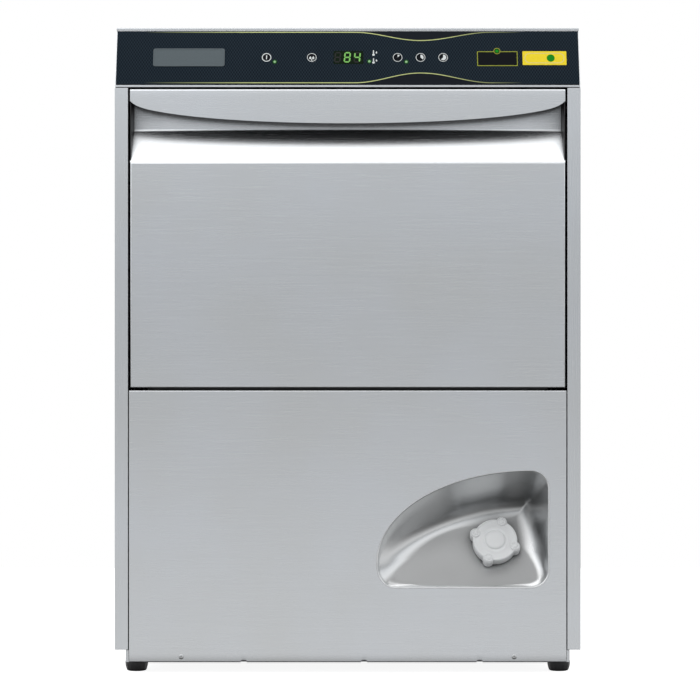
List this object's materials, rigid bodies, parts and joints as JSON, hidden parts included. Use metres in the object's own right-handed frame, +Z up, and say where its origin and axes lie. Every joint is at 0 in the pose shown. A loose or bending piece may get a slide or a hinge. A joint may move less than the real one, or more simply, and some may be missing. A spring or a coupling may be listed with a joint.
{
  "type": "commercial dishwasher",
  "caption": "Undercounter front-loading commercial dishwasher with drop-down double-skinned door, leaning control fascia, salt cap pocket, spray arms and adjustable feet.",
  "frame": {"origin": "centre of the 600 by 612 mm footprint, on the floor", "axes": "+X to the right seen from the front, -Y out of the front, +Z up"},
  "size_m": [0.6, 0.612, 0.836],
  "materials": {
    "stainless_steel": "brushed stainless sheet",
    "galvanised_steel": "dull zinc-coated steel",
    "bright_steel": "bright stainless bar",
    "fascia_film": "dark blue-grey printed film, satin",
    "black_plastic": "black moulded plastic",
    "grey_plastic": "light grey moulded plastic",
    "white_plastic": "off-white moulded plastic",
    "blue_plastic": "blue moulded plastic",
    "rubber": "black rubber",
    "circuit_board": "green circuit board",
    "motor_casting": "grey lacquered casting"
  },
  "bodies": {
    "cabinet": {"base_tray": "stainless_steel", "side_panel_left": "stainless_steel", "side_panel_right": "stainless_steel", "rear_panel": "stainless_steel", "top_panel": "stainless_steel", "chassis_frame": "galvanised_steel", "lower_front_panel": "stainless_steel", "panel_screw_left": "bright_steel", "panel_screw_right": "bright_steel", "salt_pocket": "stainless_steel", "salt_container": "white_plastic", "fascia_bracket": "stainless_steel", "fascia_film": "fascia_film", "control_board": "circuit_board", "wash_tub": "stainless_steel", "door_gasket": "rubber", "wash_tank": "stainless_steel", "surface_filter": "stainless_steel", "filter_basket": "stainless_steel", "rack_rails": "stainless_steel", "lower_manifold": "black_plastic", "upper_manifold": "stainless_steel", "tank_heater": "bright_steel", "glass_rack": "blue_plastic", "wash_pump_motor": "motor_casting", "wash_pump_volute": "black_plastic", "wash_feed_hose": "rubber", "booster_tank": "stainless_steel", "drain_pump": "motor_casting", "dosing_pumps": "white_plastic", "air_break": "white_plastic", "power_box": "grey_plastic", "door_switch": "black_plastic", "rear_connections": "black_plastic", "hinge_bracket_left": "galvanised_steel", "hinge_bracket_right": "galvanised_steel", "door_spring_left": "galvanised_steel", "door_spring_right": "galvanised_steel"},
    "door": {"door_outer_skin": "stainless_steel", "door_visor": "stainless_steel", "door_inner_panel": "stainless_steel", "hinge_arms": "galvanised_steel"},
    "left_spring_rod": {"spring_rod_left": "bright_steel"},
    "right_spring_rod": {"spring_rod_right": "bright_steel"},
    "lower_wash_arm": {"lower_wash_arm": "stainless_steel"},
    "lower_rinse_arm": {"lower_rinse_arm": "stainless_steel"},
    "upper_wash_arm": {"upper_wash_arm": "stainless_steel"},
    "upper_rinse_arm": {"upper_rinse_arm": "stainless_steel"},
    "pump_rotor": {"pump_rotor": "white_plastic"},
    "power_button": {"power_button": "fascia_film"},
    "drain_button": {"drain_button": "fascia_film"},
    "program_button_1": {"program_button_1": "fascia_film"},
    "program_button_2": {"program_button_2": "fascia_film"},
    "program_button_3": {"program_button_3": "fascia_film"},
    "cap_seal": {"salt_cap_seal": "rubber"},
    "cap": {"salt_cap": "grey_plastic"},
    "foot_front_left": {"foot_front_left": "black_plastic"},
    "foot_front_right": {"foot_front_right": "black_plastic"},
    "foot_rear_left": {"foot_rear_left": "black_plastic"},
    "foot_rear_right": {"foot_rear_right": "black_plastic"}
  },
  "joints": [
    {"name": "door_hinge", "type": "hinge", "parent": "cabinet", "child": "door", "pos_m": [0, -0.298, 0.38], "axis": [1, 0, 0], "range_deg": [0, 90]},
    {"name": "left_spring_rod_lift", "type": "slide", "parent": "cabinet", "child": "left_spring_rod", "axis": [0, 0, 1], "range_m": [0, 0.0708], "deforming": ["door_spring_left"]},
    {"name": "right_spring_rod_lift", "type": "slide", "parent": "cabinet", "child": "right_spring_rod", "axis": [0, 0, 1], "range_m": [0, 0.0708], "deforming": ["door_spring_right"]},
    {"name": "lower_wash_arm_spin", "type": "hinge", "parent": "cabinet", "child": "lower_wash_arm", "pos_m": [0, 0, 0.3905], "axis": [0, 0, 1], "continuous": true},
    {"name": "lower_rinse_arm_spin", "type": "hinge", "parent": "cabinet", "child": "lower_rinse_arm", "pos_m": [0, 0, 0.4046], "axis": [0, 0, 1], "continuous": true},
    {"name": "upper_wash_arm_spin", "type": "hinge", "parent": "cabinet", "child": "upper_wash_arm", "pos_m": [0, 0, 0.7215], "axis": [0, 0, 1], "continuous": true},
    {"name": "upper_rinse_arm_spin", "type": "hinge", "parent": "cabinet", "child": "upper_rinse_arm", "pos_m": [0, 0, 0.705], "axis": [0, 0, 1], "continuous": true},
    {"name": "pump_rotor_spin", "type": "hinge", "parent": "cabinet", "child": "pump_rotor", "pos_m": [0, 0.04, 0.122], "axis": [1, 0, 0], "continuous": true},
    {"name": "power_button_press", "type": "slide", "parent": "cabinet", "child": "power_button", "axis": [0, 0.9416, -0.3367], "range_m": [0, 0.0008], "stiffness_N_per_m": 1500},
    {"name": "drain_button_press", "type": "slide", "parent": "cabinet", "child": "drain_button", "axis": [0, 0.9416, -0.3367], "range_m": [0, 0.0008], "stiffness_N_per_m": 1500},
    {"name": "program_button_1_press", "type": "slide", "parent": "cabinet", "child": "program_button_1", "axis": [0, 0.9416, -0.3367], "range_m": [0, 0.0008], "stiffness_N_per_m": 1500},
    {"name": "program_button_2_press", "type": "slide", "parent": "cabinet", "child": "program_button_2", "axis": [0, 0.9416, -0.3367], "range_m": [0, 0.0008], "stiffness_N_per_m": 1500},
    {"name": "program_button_3_press", "type": "slide", "parent": "cabinet", "child": "program_button_3", "axis": [0, 0.9416, -0.3367], "range_m": [0, 0.0008], "stiffness_N_per_m": 1500},
    {"name": "cap_lift_off", "type": "slide", "parent": "cabinet", "child": "cap_seal", "axis": [0, -0.887, 0.4617], "range_m": [0, 0.06]},
    {"name": "cap_unscrew", "type": "hinge", "parent": "cap_seal", "child": "cap", "pos_m": [0.191, -0.27483, 0.1654], "axis": [0, -0.887, 0.4617], "range_deg": [0, 360]},
    {"name": "foot_front_left_adjust", "type": "slide", "parent": "cabinet", "child": "foot_front_left", "axis": [0, 0, -1], "range_m": [0, 0.02]},
    {"name": "foot_front_right_adjust", "type": "slide", "parent": "cabinet", "child": "foot_front_right", "axis": [0, 0, -1], "range_m": [0, 0.02]},
    {"name": "foot_rear_left_adjust", "type": "slide", "parent": "cabinet", "child": "foot_rear_left", "axis": [0, 0, -1], "range_m": [0, 0.02]},
    {"name": "foot_rear_right_adjust", "type": "slide", "parent": "cabinet", "child": "foot_rear_right", "axis": [0, 0, -1], "range_m": [0, 0.02]}
  ],
  "couplings": [
    {"joint": "left_spring_rod_lift", "follows": "door_hinge", "m_per_rad": 0.045},
    {"joint": "right_spring_rod_lift", "follows": "door_hinge", "m_per_rad": 0.045}
  ]
}
